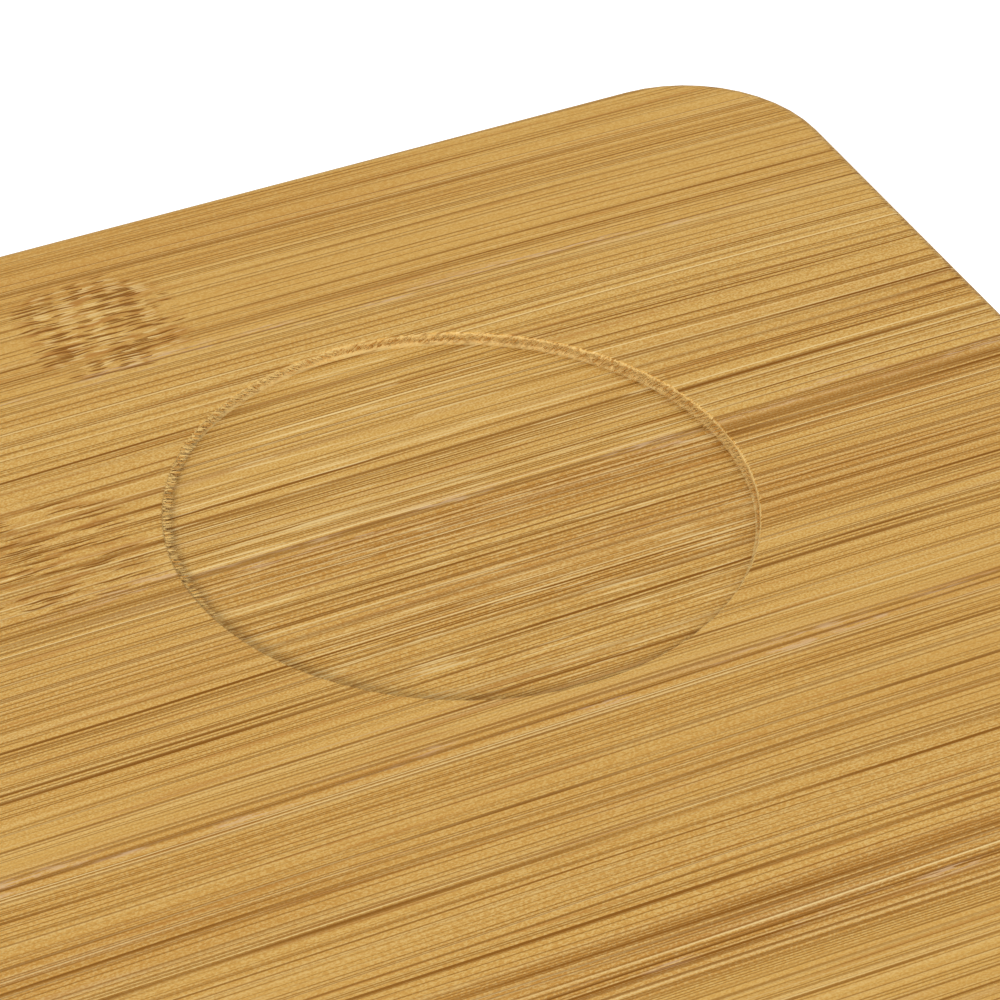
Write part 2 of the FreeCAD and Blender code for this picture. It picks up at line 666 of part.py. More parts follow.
def coil_leads():
    """The two ends of the winding. The inner one turns back and drops into the slot under the winding."""
    x = -COIL_FIRST_R
    drop_x = x + 5.0
    drop = COIL_Z - LEAD_Z
    slope_run = drop / math.tan(math.radians(25))
    inner = [
        Vector(x, 0, COIL_Z),
        Vector(x, LEAD_BEND + 0.4, COIL_Z),
        Vector(x + 8.2, LEAD_BEND + 0.4, COIL_Z),
        Vector(x + 8.2, LEAD_INNER_Y, COIL_Z),
        Vector(drop_x, LEAD_INNER_Y, COIL_Z),
        Vector(drop_x - slope_run, LEAD_INNER_Y, LEAD_Z),
        Vector(LEAD_END_X, LEAD_INNER_Y, LEAD_Z),
    ]
    x = -COIL_LAST_R
    outer = [
        Vector(x, 0, COIL_Z),
        Vector(x, LEAD_OUTER_Y, COIL_Z),
        Vector(x - 3.4, LEAD_OUTER_Y, COIL_Z),
        Vector(x - 3.4 - slope_run, LEAD_OUTER_Y, LEAD_Z),
        Vector(LEAD_END_X, LEAD_OUTER_Y, LEAD_Z),
    ]
    leads = [wire_along(bent_path(corners, LEAD_BEND), LITZ_R) for corners in (inner, outer)]
    return at_spot(Part.makeCompound(leads))


def tray_foam_pads():
    """Four foam blocks on the cover, between its ribs, that press the coil stack against the ceiling."""
    pads = []
    for across in (-1, 1):
        for along in (-1, 1):
            x = across * FOAM_PLACE
            y = along * FOAM_PLACE
            pads.append(rounded_block(x - 4, y - 4, x + 4, y + 4, COVER_TOP, TRAY_Z, 1.0))
    return at_spot(Part.makeCompound(pads))


# ---- Temperature sensor ------------------------------------------------------------------------------
SENSOR_WIRE_YS = (-3.5, -4.2)
SENSOR_PAD_YS = (9.0, 11.0)
SENSOR_END_X = CIRCUIT_RIGHT - 2.0 - SPOT.x
SENSOR_X = SLOT_DEEP_X - 1.2
SENSOR_WIRE_Z = LEAD_Z - LITZ_R + SENSOR_WIRE_R
SENSOR_SPREAD_XS = (CIRCUIT_RIGHT + 3.2 - SPOT.x, CIRCUIT_RIGHT + 2.2 - SPOT.x)


def thermistor():
    """A glass bead in the middle of the coil, where the phone gets warmest."""
    y = sum(SENSOR_WIRE_YS) / 2
    bead = Part.makeSphere(0.7, Vector(SENSOR_X, y, SENSOR_WIRE_Z + 0.45))
    trimmed = bead.common(box(SENSOR_X - 1, y - 1, SENSOR_WIRE_Z - 0.22, SENSOR_X + 1, y + 1, TOP))
    for wire_y in SENSOR_WIRE_YS:
        trimmed = trimmed.cut(box(-30, wire_y - 0.25, 0, SENSOR_X - 0.2, wire_y + 0.25, TOP))
    return at_spot(trimmed)


def sensor_wires():
    """Two thin wires through the slot and up the gap beside the circuit board to their pads."""
    made = []
    z = SENSOR_WIRE_Z
    over_leads = LEAD_Z + LITZ_R + SENSOR_WIRE_R + 0.25
    for wire_y, pad_y, spread_x in zip(SENSOR_WIRE_YS, SENSOR_PAD_YS, SENSOR_SPREAD_XS):
        corners = [
            Vector(SENSOR_X - 0.2, wire_y, z),
            Vector(-TRAY_R + 0.6, wire_y, z),
            Vector(spread_x, wire_y, over_leads),
            Vector(spread_x, 1.5, over_leads),
            Vector(spread_x, 4.5, z),
            Vector(spread_x, pad_y, z),
            Vector(SENSOR_END_X, pad_y, z),
        ]
        made.append(wire_along(bent_path(corners, 1.1), SENSOR_WIRE_R))
    return at_spot(Part.makeCompound(made))


# ---- Build and write ---------------------------------------------------------------------------------
def all_nodes():
    nodes = {
        "bamboo_board": bamboo_board(),
        "base_cover": base_cover(),
        "cover_screws": Part.makeCompound([cover_screw(x, y) for x, y in COVER_SCREW_PLACES]),
        "foot_adhesives": foot_adhesives(),
        "port_bezel": port_bezel(),
        "usb_shell": usb_shell(),
        "usb_housing": usb_housing(),
        "usb_tongue": usb_tongue(),
        "usb_contacts": usb_contacts(),
        "circuit_board": circuit_board(),
        "circuit_screws": Part.makeCompound([circuit_screw(x, y) for x, y in CIRCUIT_SCREW_PLACES]),
        "controller_chip": controller_chip(),
        "bridge_transistors": bridge_transistors(),
        "buck_inductor": buck_inductor(),
        "resonant_capacitors": resonant_capacitors(),
        "filter_capacitors": filter_capacitors(),
        "chip_resistors": chip_resistors(),
        "status_led": status_led(),
        "light_pipe": light_pipe(),
        "solder_joints": solder_joints(),
        "thermal_pad": thermal_pad(),
        "coil_tray": coil_tray(),
        "ferrite_shield": ferrite_shield(),
        "coil_tape_lower": coil_tape_lower(),
        "coil_tape_upper": coil_tape_upper(),
        "charging_coil": charging_coil(),
        "coil_leads": coil_leads(),
        "tray_foam_pads": tray_foam_pads(),
        "thermistor": thermistor(),
        "sensor_wires": sensor_wires(),
    }
    for name, (x, y) in zip(FOOT_NAMES, FOOT_PLACES):
        nodes[name] = rubber_foot(x, y)
    return nodes


os.makedirs("parts", exist_ok=True)
for name, shape in all_nodes().items():
    shape.exportStep(f"parts/{name}.step")
    low = shape.BoundBox
    print(
        f"{name}: {len(shape.Solids)} solid, valid {shape.isValid()}, {shape.Volume:.1f} mm3, "
        f"z {low.ZMin:.2f} to {low.ZMax:.2f}"
    )
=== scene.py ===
# %% [markdown]
# # Bamboo wireless charging pad
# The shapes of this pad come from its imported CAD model, which is loaded as a fixed frame. What is
# made here is how it looks: the bamboo and its grain, the torn fibres round the milled charging
# spot, rubber, moulded plastic, plated steel and the parts of the charger inside. All lengths are
# in metres, as Blender wants them, and small ones are written in millimetres and multiplied by MM.

import json
import math
import random

import bmesh
import bpy
from mathutils import Matrix, Vector


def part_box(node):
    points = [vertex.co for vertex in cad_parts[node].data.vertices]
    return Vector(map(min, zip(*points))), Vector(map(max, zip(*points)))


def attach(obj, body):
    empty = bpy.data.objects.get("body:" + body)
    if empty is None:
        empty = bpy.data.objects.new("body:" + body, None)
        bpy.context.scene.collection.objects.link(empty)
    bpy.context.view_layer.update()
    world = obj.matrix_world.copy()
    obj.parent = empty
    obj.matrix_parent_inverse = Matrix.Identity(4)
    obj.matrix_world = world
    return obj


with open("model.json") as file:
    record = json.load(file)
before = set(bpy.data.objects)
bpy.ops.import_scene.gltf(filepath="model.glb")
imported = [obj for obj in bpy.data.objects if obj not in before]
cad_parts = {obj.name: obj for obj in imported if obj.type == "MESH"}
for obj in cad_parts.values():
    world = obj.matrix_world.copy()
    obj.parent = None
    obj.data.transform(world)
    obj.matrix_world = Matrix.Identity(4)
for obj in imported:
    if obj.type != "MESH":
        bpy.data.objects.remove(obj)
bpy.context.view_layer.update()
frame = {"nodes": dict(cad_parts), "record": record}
MM = 0.001
board_low, board_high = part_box("bamboo_board")
mounts = {mount["name"]: Vector(mount["pos_m"]) for mount in frame["record"]["mounts"]}
spot = mounts["charging_spot"]
top = board_high.z
print("board", [round(v / MM, 1) for v in board_high - board_low], "mm")
print("spot at", [round(v / MM, 1) for v in spot], "mm")

# %% [markdown]
# ## Camera
# The pad is seen close up through a long lens, from the front left and from about 38 degrees above
# the desk, so straight edges hardly converge. A camera is easiest to reason about as a point to
# look at, a direction to look from and a distance. Blender cameras look along their own -Z, so the
# rotation is built from three axes instead of angles, and a last small roll is added about the line
# of sight.

# %% Camera
AZIMUTH = math.radians(-27.13)
ELEVATION = math.radians(37.61)
ROLL = math.radians(0.96)
DISTANCE = 318 * MM
LENS = 170.6
AIM_RIGHT, AIM_BACK = 2.67 * MM, -0.42 * MM

camera_data = bpy.data.cameras.new("camera")
camera_data.sensor_width = 36
camera_data.lens = LENS
camera_data.clip_start = 10 * MM
camera_data.clip_end = 100
camera = bpy.data.objects.new("camera", camera_data)
bpy.context.scene.collection.objects.link(camera)
bpy.context.scene.camera = camera

aim = Vector((spot.x + AIM_RIGHT, spot.y + AIM_BACK, top))
flat = math.cos(ELEVATION)
towards = Vector((math.sin(AZIMUTH) * flat, -math.cos(AZIMUTH) * flat, math.sin(ELEVATION)))
right = Vector((math.cos(AZIMUTH), math.sin(AZIMUTH), 0))
turn = Matrix((right, towards.cross(right), towards)).transposed().to_4x4()
camera.matrix_world = Matrix.Translation(aim + towards * DISTANCE) @ turn @ Matrix.Rotation(ROLL, 4, "Z")
print("camera at", [round(v / MM) for v in camera.matrix_world.translation], "mm")

# %% [markdown]
# ## Materials as recipes
# A procedural material is a small network of nodes. Wiring nodes one by one makes code that nobody
# can read, so this little class gives each kind of step a short name: a material is then written as
# a recipe, from the coordinates at the top to the shader at the bottom. Anything may be a number or
# the output of another step.

# %% A helper for writing node networks
class Recipe:
    def __init__(self, name):
        self.material = bpy.data.materials.new(name)
        self.material.use_nodes = True
        self.tree = self.material.node_tree
        self.tree.nodes.clear()
        self.shader = self.tree.nodes.new("ShaderNodeBsdfPrincipled")
        self.output = self.tree.nodes.new("ShaderNodeOutputMaterial")
        self.tree.links.new(self.shader.outputs[0], self.output.inputs[0])

    def feed(self, socket, value):
        if isinstance(value, bpy.types.NodeSocket):
            self.tree.links.new(value, socket)
        elif value is not None:
            socket.default_value = value

    def math(self, operation, a, b=None, c=None):
        node = self.tree.nodes.new("ShaderNodeMath")
        node.operation = operation
        for socket, value in zip(node.inputs, (a, b, c)):
            self.feed(socket, value)
        return node.outputs[0]

    def add(self, *values):
        total = values[0]
        for value in values[1:]:
            total = self.math("ADD", total, value)
        return total

    def times(self, *values):
        total = values[0]
        for value in values[1:]:
            total = self.math("MULTIPLY", total, value)
        return total

    def invert(self, value):
        return self.math("SUBTRACT", 1.0, value)

    def fade(self, value, start, end, low=0.0, high=1.0):
        """Turns smoothly from low to high as value goes from start to end."""
        node = self.tree.nodes.new("ShaderNodeMapRange")
        node.interpolation_type = "SMOOTHSTEP"
        ends = {"Value": value, "From Min": start, "From Max": end, "To Min": low, "To Max": high}
        for name, number in ends.items():
            self.feed(node.inputs[name], number)
        return node.outputs[0]

    def place(self):
        """Where the surface point is, in millimetres, as three numbers."""
        node = self.tree.nodes.new("ShaderNodeTexCoord")
        scaled = self.tree.nodes.new("ShaderNodeVectorMath")
        scaled.operation = "SCALE"
        scaled.inputs["Scale"].default_value = 1 / MM
        self.tree.links.new(node.outputs["Object"], scaled.inputs[0])
        return self.split(scaled.outputs[0])

    def facing(self):
        """The surface's direction, as three numbers."""
        node = self.tree.nodes.new("ShaderNodeTexCoord")
        return self.split(node.outputs["Normal"])

    def split(self, vector):
        node = self.tree.nodes.new("ShaderNodeSeparateXYZ")
        self.tree.links.new(vector, node.inputs[0])
        return node.outputs[0], node.outputs[1], node.outputs[2]

    def join(self, x, y, z):
        node = self.tree.nodes.new("ShaderNodeCombineXYZ")
        for socket, value in zip(node.inputs, (x, y, z)):
            self.feed(socket, value)
        return node.outputs[0]

    def noise(self, vector, detail=2.0, roughness=0.5):
        node = self.tree.nodes.new("ShaderNodeTexNoise")
        node.inputs["Scale"].default_value = 1.0
        node.inputs["Detail"].default_value = detail
        node.inputs["Roughness"].default_value = roughness
        self.tree.links.new(vector, node.inputs["Vector"])
        return node.outputs["Fac"]

    def even_noise(self, place, per_mm, detail=2.0, roughness=0.5):
        """Noise that is alike in all directions, with about so many blobs to a millimetre."""
        return self.noise(self.join(*(self.times(along, per_mm) for along in place)), detail, roughness)

    def cells(self, vector, dimensions="3D"):
        """Distance to the nearest of many scattered centres, and that centre's own random number."""
        node = self.tree.nodes.new("ShaderNodeTexVoronoi")
        node.voronoi_dimensions = dimensions
        node.inputs["Scale"].default_value = 1.0
        self.tree.links.new(vector, node.inputs["Vector"])
        own, _, _ = self.split(node.outputs["Color"])
        return node.outputs["Distance"], own

    def lot(self, number):
        """Three random numbers that belong to a whole number."""
        node = self.tree.nodes.new("ShaderNodeTexWhiteNoise")
        node.noise_dimensions = "1D"
        self.feed(node.inputs["W"], number)
        return self.split(node.outputs["Color"])

    def mix(self, share, first, second, blend="MIX"):
        node = self.tree.nodes.new("ShaderNodeMix")
        node.data_type = "RGBA"
        node.blend_type = blend
        self.feed(node.inputs["Factor"], share)
        for name, value in (("A", first), ("B", second)):
            socket = next(s for s in node.inputs if s.name == name and s.type == "RGBA")
            self.feed(socket, (*value, 1.0) if isinstance(value, tuple) else value)
        return next(s for s in node.outputs if s.type == "RGBA")

    def bump(self, height, depth, strength=1.0):
        node = self.tree.nodes.new("ShaderNodeBump")
        node.inputs["Strength"].default_value = strength
        node.inputs["Distance"].default_value = depth
        self.tree.links.new(height, node.inputs["Height"])
        self.tree.links.new(node.outputs[0], self.shader.inputs["Normal"])

    def finish(self, colour, roughness, **fixed):
        self.feed(self.shader.inputs["Base Color"], (*colour, 1.0) if isinstance(colour, tuple) else colour)
        self.feed(self.shader.inputs["Roughness"], roughness)
        for name, value in fixed.items():
            self.shader.inputs[name.replace("_", " ")].default_value = value
        return self.material

# %% Giving a finish to pieces
def wear(material, *names):
    """Gives a finish to CAD pieces, in every material slot that they have."""
    for name in names:
        piece = frame["nodes"][name]
        if not piece.material_slots:
            piece.data.materials.append(material)
        for slot in piece.material_slots:
            slot.material = material
    print(material.name, "on", ", ".join(names))

# %% [markdown]
# ## Bamboo
# A bamboo board isn't like timber. The stem is split into strips about 23 mm wide, planed and glued
# side by side. Each strip is packed with vascular bundles: straight dark threads, a fifth of a
# millimetre thick, that run its whole length, with pale hard fibre beside them. Where the stem had
# a joint, the threads break up into a patch of short dark and pale dashes.
#
# A picture wrapped round the board would smear on its edges. Here the grain is solid: every point's
# colour comes from where it is in the wood, so threads on the top turn into dots on the ends, and
# the milled spot shows the threads that lie deeper down.
#
# The finish is built in layers, each in its own cell: the ground, the threads, the joints' marks
# and the milled spot. The colours come first, since nearly every layer mixes two or three of them.

# %% Bamboo: colours
HONEY = (0.585, 0.342, 0.083)
AMBER = (0.445, 0.198, 0.030)
STRAW = (0.70, 0.49, 0.19)
CREAM = (0.80, 0.60, 0.27)
THREAD = (0.215, 0.075, 0.002)
RUST = (0.38, 0.150, 0.022)
ROSE = (0.50, 0.32, 0.16)
BLUSH = (0.62, 0.42, 0.24)
RAW = (0.62, 0.44, 0.17)
print("the ground goes from", HONEY, "to", AMBER)

# %% [markdown]
# ### Strips
# Neighbouring strips come from different stems, so their grain mustn't run on across a glue line.
# Each strip has a whole number, and white noise turns that number into random shifts of the grain.
# The board has two layers, and the lower one's glue lines lie elsewhere. The lines bow by a
# millimetre or so, as sawn strips do.

# %% Bamboo: strips
STRIP = 22.8
FIRST_STRIP = 17.4
LAYER_GLUE = 5.4
LOWER_LAYER_SHIFT = 9.0
BOW = 3.0


def strips(r):
    """Which strip a point is in, how far it is from a glue line, and its place in that strip's own wood."""
    x, y, z = r.place()
    drift = r.noise(r.join(r.times(x, 1 / 150), r.times(y, 1 / 60), 0.0), 0.0)
    across = r.add(r.math("SUBTRACT", board_high.y / MM, y), r.times(r.add(drift, -0.5), BOW))
    lower = r.math("LESS_THAN", z, LAYER_GLUE)
    shifted = r.add(across, STRIP - FIRST_STRIP, r.times(lower, LOWER_LAYER_SHIFT))
    position = r.times(shifted, 1 / STRIP)
    number = r.add(r.math("FLOOR", position), r.times(lower, 40.0))
    inside = r.times(r.math("FRACT", position), STRIP)
    edge = r.math("MINIMUM", inside, r.math("SUBTRACT", STRIP, inside))
    one, two, three = r.lot(r.add(number, 3.0))
    u = r.add(x, r.times(one, 900.0))
    v = r.add(across, r.times(two, 70.0))
    w = r.add(z, r.times(three, 50.0))
    return {"x": x, "y": y, "z": z, "across": across, "u": u, "v": v, "w": w, "edge": edge, "one": one}


print(round((board_high.y - board_low.y) / MM / STRIP, 1), "strips across the board")

# %% [markdown]
# ### Patches
# Some features belong to one place in the board: the marks of the stem's joints, bands where the
# wood is darker, and stretches where the threads crowd together. Each is a soft oval, given by its
# middle along and across the grain, its half length, its half width and how strong it is. Ovals are
# cheap to work out, and easy to move.

# %% Bamboo: soft oval patches
def patches(r, s, ovals):
    """The strongest of several soft ovals at a point, from 0 to 1, in the top layer only."""
    total = None
    for along, across, half_length, half_width, strength in ovals:
        dx = r.times(r.add(s["x"], -along), 1 / half_length)
        dy = r.times(r.add(s["across"], -across), 1 / half_width)
        side = r.times(dy, dy)
        patch = r.fade(r.add(r.times(dx, dx), r.times(side, side, side)), 0.3, 1.5, strength, 0.0)
        total = patch if total is None else r.math("MAXIMUM", total, patch)
    return r.times(total, r.math("GREATER_THAN", s["z"], LAYER_GLUE))

# %% Bamboo: where the patches lie
SPOT_X = spot.x / MM
SPOT_ACROSS = (board_high.y - spot.y) / MM
JOINT_MARKS = [
    (SPOT_X - 13.6, 11.9, 5.4, 5.8, 0.9),
    (SPOT_X - 27.0, 34.6, 7.2, 5.8, 0.42),
    (SPOT_X - 97.0, 52.5, 5.0, 7.0, 0.75),
    (SPOT_X - 148.0, 29.0, 6.5, 9.0, 0.55),
    (SPOT_X + 15.0, 99.5, 4.6, 6.0, 0.8),
    (SPOT_X - 61.0, 121.0, 6.0, 9.5, 0.6),
    (SPOT_X - 131.0, 142.0, 5.5, 7.5, 0.9),
    (SPOT_X - 14.0, 166.0, 6.4, 8.0, 0.5),
]
DARK_BANDS = [
    (SPOT_X + 16.0, SPOT_ACROSS + 1.0, 34.0, 1.9, 0.95),
    (SPOT_X + 14.0, SPOT_ACROSS + 8.2, 22.0, 3.0, 0.75),
    (SPOT_X - 10.0, SPOT_ACROSS + 21.5, 60.0, 1.4, 0.55),
    (SPOT_X + 2.0, SPOT_ACROSS + 44.0, 30.0, 3.2, 0.85),
    (SPOT_X - 38.0, SPOT_ACROSS + 30.0, 16.0, 2.6, 0.6),
    (SPOT_X - 4.0, 3.2, 20.0, 2.4, 0.5),
    (SPOT_X + 30.0, SPOT_ACROSS - 8.0, 26.0, 4.0, 0.35),
    (SPOT_X - 105.0, 74.0, 50.0, 3.0, 0.8),
    (SPOT_X - 60.0, 133.0, 60.0, 3.4, 0.7),
    (SPOT_X - 130.0, 108.0, 36.0, 2.4, 0.6),
]
CROWDS = [
    (SPOT_X + 2.0, SPOT_ACROSS - 1.5, 64.0, 21.5, 0.9),
    (SPOT_X + 34.0, SPOT_ACROSS - 6.0, 26.0, 14.0, 1.0),
    (SPOT_X - 22.0, SPOT_ACROSS + 28.0, 40.0, 8.0, 0.5),
    (SPOT_X + 8.0, SPOT_ACROSS + 40.0, 34.0, 8.0, 0.8),
    (SPOT_X - 115.0, 62.0, 60.0, 9.0, 0.7),
    (SPOT_X - 70.0, 150.0, 70.0, 9.0, 0.8),
]
print(len(JOINT_MARKS), "joint marks,", len(DARK_BANDS), "dark bands,", len(CROWDS), "crowded stretches")

# %% [markdown]
# ### The ground
# Under the threads the wood has a soft ground: broad bands where the stem's wall was denser, and
# finer streaks. Both are plain noise. It is stretched along the grain and squeezed across it, so
# that its round blobs come out as streaks a hundred times as long as they are wide.

# %% Bamboo: the ground
def drawn_out(r, s, length, width, shift=0.0):
    """A place in the strip's own wood, scaled so that noise makes streaks of this size in millimetres."""
    along, across = r.times(s["u"], 1 / length), r.times(r.add(s["v"], shift), 1 / width)
    return r.join(along, across, r.times(s["w"], 1 / width))


def ground(r, s, bands, dark):
    streaks = r.noise(drawn_out(r, s, 160, 0.55, 7.0), 2.0, 0.6)
    warmth = r.add(r.fade(bands, 0.42, 0.72, 0.0, 0.24), r.times(r.add(s["one"], -0.5), 0.2),
                   r.times(dark, 0.42), r.fade(streaks, 0.46, 0.66, 0.0, 0.16))
    colour = r.mix(r.math("MINIMUM", warmth, 1.0), HONEY, AMBER)
    colour = r.mix(r.fade(streaks, 0.46, 0.34, 0.0, 0.35), colour, STRAW)
    rosy = r.noise(drawn_out(r, s, 30, 1.6, 21.0), 1.0)
    return r.mix(r.fade(rosy, 0.66, 0.74, 0.0, 0.25), colour, ROSE)

# %% [markdown]
# ### Threads
# A thread runs the whole length of a strip, so only its place across the strip and its depth
# matter. Voronoi cells in those two directions scatter the threads' centres, and a point near a
# centre is on a thread. Threads come in three dark sizes and a pale one. A slow noise makes them
# wander a little, and another lets each one fade in and out along its length.

# %% Bamboo: threads
def thread_set(r, s, wander, where, spacing, thick, shift, rare):
    """Threads of one size. Spacing is in millimetres, and thick is a share of it."""
    across = r.times(r.add(s["v"], wander, shift), 1 / spacing)
    near, own = r.cells(r.join(across, r.times(s["w"], 1 / spacing), 0.0), "2D")
    line = r.fade(near, thick, thick * 0.68)
    return r.times(line, r.fade(r.add(own, where), rare, rare + 0.45, 0.05, 1.0))


def all_threads(r, s, bands, crowd, dark):
    """The dark threads together, the finest of them alone, and the pale ones."""
    wander = r.times(r.noise(drawn_out(r, s, 60, 9, 5.0), 1.0), 1.4)
    living = r.fade(r.noise(drawn_out(r, s, 26, 0.7, 31.0), 1.0), 0.34, 0.60, 0.15, 1.0)
    where = r.add(r.times(r.add(bands, -0.5), 0.55), r.times(crowd, 0.02), r.times(dark, 0.22))
    thick = thread_set(r, s, wander, where, 0.72, 0.19, 11.0, 0.15)
    thick = r.times(thick, r.add(0.35, r.times(living, 0.65)))
    medium = r.times(thread_set(r, s, wander, where, 0.32, 0.28, 3.0, 0.05), living)
    fine = thread_set(r, s, wander, where, 0.19, 0.35, 23.0, -0.05)
    pale = thread_set(r, s, wander, where, 0.38, 0.21, 37.0, 0.30)
    pale = r.times(pale, r.invert(r.times(living, 0.6)))
    strongest = r.math("MAXIMUM", r.math("MAXIMUM", thick, r.times(medium, 0.85)), r.times(fine, 0.68))
    return strongest, fine, pale

# %% [markdown]
# ### The joints' marks
# At a joint of the stem the threads turn off sideways, so a planed strip shows their cut ends: long
# and short dashes, dark and pale, in a rusty stain. Flat Voronoi cells, long along the grain and
# thin across it, give the dashes, and the cell's own random number says whether one is dark, pale
# or missing. A shaking noise bends them.

# %% Bamboo: the joints' marks
SHORT_DASH = (1.9, 0.22)
LONG_DASH = (5.5, 0.31)


def dashes(r, along, across, size):
    length, width = size
    return r.cells(r.join(r.times(along, 1 / length), r.times(across, 1 / width), 0.0), "2D")


def joint_marks(r, s, mark):
    """How dark, how pale and how rusty a point is, each from 0 to 1."""
    shake = r.noise(r.join(r.times(s["x"], 0.5), r.times(s["across"], 0.8), r.times(s["z"], 0.5)), 0.0)
    bent = r.add(s["across"], r.times(r.add(shake, -0.5), 0.34))
    blot = r.noise(r.join(r.times(s["x"], 1 / 3.6), r.times(bent, 1 / 0.7), s["z"]), 2.0, 0.6)
    core = r.fade(r.add(mark, r.times(r.add(blot, -0.5), 1.1)), 0.40, 0.90)
    short_near, short_own = dashes(r, r.add(s["x"], r.times(bent, 0.20)), bent, SHORT_DASH)
    short = r.times(r.fade(short_near, 0.42, 0.24), core)
    long_near, long_own = dashes(r, s["x"], bent, LONG_DASH)
    long = r.times(r.fade(long_near, 0.34, 0.18), r.fade(mark, 0.10, 0.40))
    dark_dash = r.math("MAXIMUM", r.times(short, r.math("GREATER_THAN", short_own, 0.55)),
                       r.times(long, r.math("GREATER_THAN", long_own, 0.35)))
    pale_dash = r.times(short, r.math("LESS_THAN", short_own, 0.40))
    rust = r.times(r.fade(blot, 0.46, 0.66), r.fade(mark, 0.02, 0.6))
    return dark_dash, pale_dash, rust

# %% [markdown]
# ### The milled spot
# The spot is cut once the board has been oiled. Its floor shows short pale fibres, where the cutter
# scuffed it, and its wall is raw wood in strands of two shades. Both are found from a point's
# distance to the spot's middle and its height, so they follow the shape whichever way the board is
# seen.

# %% Bamboo: the milled spot
SPOT_RADIUS = 20.0
WALL_REACH = 0.28


def from_spot(r, x, y):
    """A point's place from the middle of the spot, and its distance, in millimetres."""
    dx, dy = r.add(x, -SPOT_X), r.add(y, -spot.y / MM)
    return dx, dy, r.math("SQRT", r.add(r.times(dx, dx), r.times(dy, dy)))


def milled_spot(r, s):
    """How scuffed the floor is, and how raw the wall is."""
    _, _, radius = from_spot(r, s["x"], s["y"])
    upper = r.math("GREATER_THAN", s["z"], LAYER_GLUE)
    milled = r.times(r.math("LESS_THAN", radius, SPOT_RADIUS),
                     r.math("LESS_THAN", s["z"], top / MM - 0.2), upper)
    scuffed = r.times(r.fade(r.noise(drawn_out(r, s, 7, 0.20, 41.0), 1.0), 0.62, 0.70), milled)
    wall = r.times(r.math("COMPARE", radius, SPOT_RADIUS, WALL_REACH),
                   r.math("LESS_THAN", s["z"], top / MM - 0.05), upper)
    strands = r.noise(drawn_out(r, s, 1.2, 0.16, 71.0), 1.0)
    return scuffed, r.times(wall, r.fade(strands, 0.35, 0.65, 0.3, 0.8))

# %% [markdown]
# ### All the layers together
# The layers are mixed one over another, from the ground up. Last come the places beside the glue
# lines, where the wood is blushed here and there, and the thin dark glue lines themselves. The same
# values drive a faint relief and the gloss: oil sinks into the dark threads, so they are duller
# than the wood between them.

# %% Bamboo: small things in the wood
def speckled(r, s, colour, crowd, grit):
    """Fine grit, darker and lighter than the ground, and stronger where threads crowd."""
    strength = r.add(0.26, r.times(crowd, 0.22))
    colour = r.mix(r.times(r.fade(grit, 0.50, 0.38), strength), colour, AMBER)
    return r.mix(r.times(r.fade(grit, 0.50, 0.62), strength), colour, STRAW)


def blush(r, s):
    """Broken pinkish streaks within a millimetre of a glue line."""
    near_glue = r.fade(s["edge"], 1.1, 0.3)
    stretch = r.fade(r.noise(drawn_out(r, s, 9, 1.1, 61.0), 1.0), 0.50, 0.64)
    strands = r.fade(r.noise(drawn_out(r, s, 1.6, 0.14, 81.0), 1.0), 0.44, 0.60)
    return r.times(near_glue, stretch, strands)


def glue_lines(r, s):
    """The glue between strips, and both that and the glue between the two layers."""
    between_strips = r.fade(s["edge"], 0.13, 0.05)
    between_layers = r.fade(r.math("ABSOLUTE", r.add(s["z"], -LAYER_GLUE)), 0.08, 0.03)
    return between_strips, r.math("MAXIMUM", between_strips, between_layers)

# %% Bamboo: the finish
GRIT_LENGTH, GRIT_WIDTH = 0.19, 0.11
RELIEF = 0.03 * MM


def oiled_bamboo():
    r = Recipe("oiled_bamboo")
    s = strips(r)
    mark, dark, crowd = (patches(r, s, ovals) for ovals in (JOINT_MARKS, DARK_BANDS, CROWDS))
    bands = r.noise(drawn_out(r, s, 230, 3.6), 2.0, 0.6)
    grit = r.noise(drawn_out(r, s, GRIT_LENGTH, GRIT_WIDTH), 1.0)
    threads, fine, pale = all_threads(r, s, bands, crowd, dark)
    threads = r.times(threads, r.invert(r.times(mark, 0.5)), r.add(0.84, r.times(crowd, 0.16)))
    rusty = r.fade(r.noise(drawn_out(r, s, 20, 0.45, 51.0), 1.0), 0.62, 0.72)
    dark_dash, pale_dash, rust = joint_marks(r, s, mark)
    scuffed, raw_wall = milled_spot(r, s)
    glue, all_glue = glue_lines(r, s)

    colour = speckled(r, s, ground(r, s, bands, dark), crowd, grit)
    for share, paint in (
        (r.times(pale, r.add(0.50, r.times(crowd, 0.35))), CREAM),
        (r.times(rusty, 0.5), RUST),
        (threads, THREAD),
        (r.times(rust, 0.72), RUST),
        (r.times(pale_dash, 0.52), CREAM),
        (r.times(dark_dash, 0.95), THREAD),
        (r.times(scuffed, 0.6), CREAM),
        (r.times(blush(r, s), 0.6), BLUSH),
        (raw_wall, RAW),
        (r.times(all_glue, 0.6), THREAD),
    ):
        colour = r.mix(share, colour, paint)

    relief = r.add(r.times(grit, 0.7), r.times(fine, -0.6), r.times(dark_dash, -0.9), r.times(glue, -1.0))
    r.bump(relief, RELIEF, 0.5)
    roughness = r.add(0.50, r.times(grit, 0.12), r.times(threads, 0.1))
    return r.finish(colour, roughness, Specular_IOR_Level=0.14)


wear(oiled_bamboo(), "bamboo_board")
